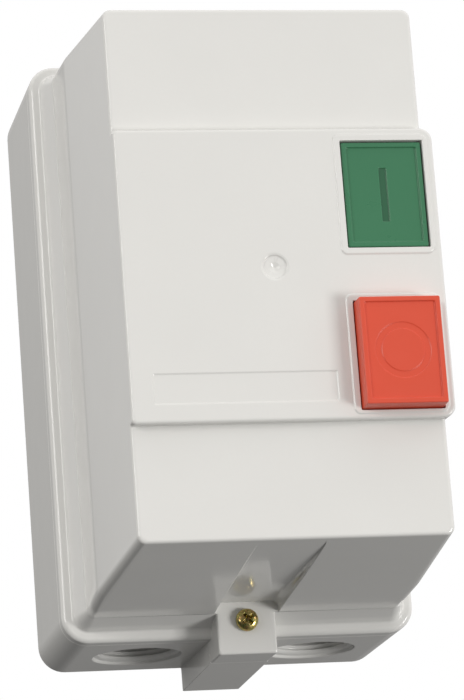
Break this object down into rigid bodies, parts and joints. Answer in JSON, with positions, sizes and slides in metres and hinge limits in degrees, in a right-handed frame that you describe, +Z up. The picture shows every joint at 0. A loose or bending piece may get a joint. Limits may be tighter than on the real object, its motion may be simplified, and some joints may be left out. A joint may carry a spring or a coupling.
{
  "type": "enclosed motor starter",
  "caption": "Wall-mounted motor starter: contactor and overload relay in a deep grey plastic case with a flush green start button and a proud red stop button.",
  "frame": {"origin": "centre of the rear face of the tray, on the wall plane", "axes": "+Y into the wall, +Z up, +X to the right when facing the buttons"},
  "size_m": [0.0954, 0.1265, 0.1664],
  "materials": {
    "casing": "satin-gloss moulded light grey plastic",
    "green_plastic": "satin moulded green plastic",
    "red_plastic": "satin moulded red plastic",
    "blue_plastic": "satin moulded blue plastic",
    "black_plastic": "fine textured thermoset plastic",
    "grey_plastic": "fine textured grey plastic",
    "ivory_plastic": "fine textured ivory plastic",
    "gasket_rubber": "foamed black rubber",
    "yellow_zinc": "yellow-passivated zinc plating",
    "steel": "bright zinc-plated sheet steel",
    "spring_steel": "drawn spring wire",
    "core_steel": "stacked laminations with ground faces",
    "brass": "stamped brass",
    "copper": "copper with a lacquer coat",
    "wire_insulation": "smooth cable insulation"
  },
  "bodies": {
    "enclosure": {"rear_base": "casing", "cover_gasket": "gasket_rubber", "threaded_insert": "brass", "din_rail": "steel", "rail_screw_left": "yellow_zinc", "rail_screw_right": "yellow_zinc", "contactor_base": "black_plastic", "contactor_housing": "ivory_plastic", "fixed_core": "core_steel", "coil_bobbin": "ivory_plastic", "coil_winding": "copper", "return_spring_upper": "spring_steel", "return_spring_lower": "spring_steel", "coil_terminal_1": "brass", "coil_terminal_2": "brass", "relay_housing": "grey_plastic", "start_switch_body": "black_plastic", "start_switch_screw_1": "yellow_zinc", "start_switch_screw_2": "yellow_zinc", "switch_wire": "wire_insulation", "line_wire": "wire_insulation", "relay_wire": "wire_insulation", "line_terminal_1": "brass", "load_terminal_1": "brass", "line_screw_1": "yellow_zinc", "load_screw_1": "yellow_zinc", "relay_pin_1": "brass", "heater_strip_1": "steel", "relay_screw_1": "yellow_zinc", "line_terminal_2": "brass", "load_terminal_2": "brass", "line_screw_2": "yellow_zinc", "load_screw_2": "yellow_zinc", "relay_pin_2": "brass", "heater_strip_2": "steel", "relay_screw_2": "yellow_zinc", "line_terminal_3": "brass", "load_terminal_3": "brass", "line_screw_3": "yellow_zinc", "load_screw_3": "yellow_zinc", "relay_pin_3": "brass", "heater_strip_3": "steel", "relay_screw_3": "yellow_zinc"},
    "cover": {"front_cover": "casing", "cover_screw": "yellow_zinc", "start_spring": "spring_steel", "stop_spring": "spring_steel"},
    "start_button": {"start_button": "green_plastic", "start_retainer": "steel"},
    "stop_button": {"stop_button": "red_plastic", "stop_retainer": "steel"},
    "start_plunger": {"start_switch_plunger": "green_plastic"},
    "relay_stop": {"relay_stop_button": "red_plastic"},
    "relay_reset": {"relay_reset_button": "blue_plastic"},
    "current_dial": {"current_dial": "ivory_plastic"},
    "contact_carrier": {"armature": "core_steel", "contact_carrier": "black_plastic", "moving_contact_1": "copper", "moving_contact_2": "copper", "moving_contact_3": "copper"}
  },
  "joints": [
    {"name": "cover_hinge", "type": "hinge", "parent": "enclosure", "child": "cover", "pos_m": [0, -0.041, 0.08], "axis": [-1, 0, 0], "range_deg": [0, 25]},
    {"name": "start_press", "type": "slide", "parent": "cover", "child": "start_button", "axis": [0, 1, 0], "range_m": [0, 0.0035], "stiffness_N_per_m": 350, "springref_m": -0.006, "deforming": ["start_spring"]},
    {"name": "stop_press", "type": "slide", "parent": "cover", "child": "stop_button", "axis": [0, 1, 0], "range_m": [0, 0.0035], "stiffness_N_per_m": 350, "springref_m": -0.006, "deforming": ["stop_spring"]},
    {"name": "start_plunger_press", "type": "slide", "parent": "enclosure", "child": "start_plunger", "axis": [0, 1, 0], "range_m": [0, 0.0035], "stiffness_N_per_m": 200, "springref_m": -0.004},
    {"name": "relay_stop_press", "type": "slide", "parent": "enclosure", "child": "relay_stop", "axis": [0, 1, 0], "range_m": [0, 0.0035], "stiffness_N_per_m": 200, "springref_m": -0.004},
    {"name": "relay_reset_press", "type": "slide", "parent": "enclosure", "child": "relay_reset", "axis": [0, 1, 0], "range_m": [0, 0.0025], "stiffness_N_per_m": 300, "springref_m": -0.004},
    {"name": "dial_turn", "type": "hinge", "parent": "enclosure", "child": "current_dial", "pos_m": [-0.012, -0.086, -0.02], "axis": [0, -1, 0], "range_deg": [-120, 120]},
    {"name": "armature_pull", "type": "slide", "parent": "enclosure", "child": "contact_carrier", "axis": [0, 1, 0], "range_m": [0, 0.0053], "stiffness_N_per_m": 500, "springref_m": -0.006, "deforming": ["return_spring_upper", "return_spring_lower"]}
  ],
  "couplings": [
    {"joint": "start_plunger_press", "follows": "start_press", "ratio": 1},
    {"joint": "relay_stop_press", "follows": "stop_press", "ratio": 1}
  ]
}
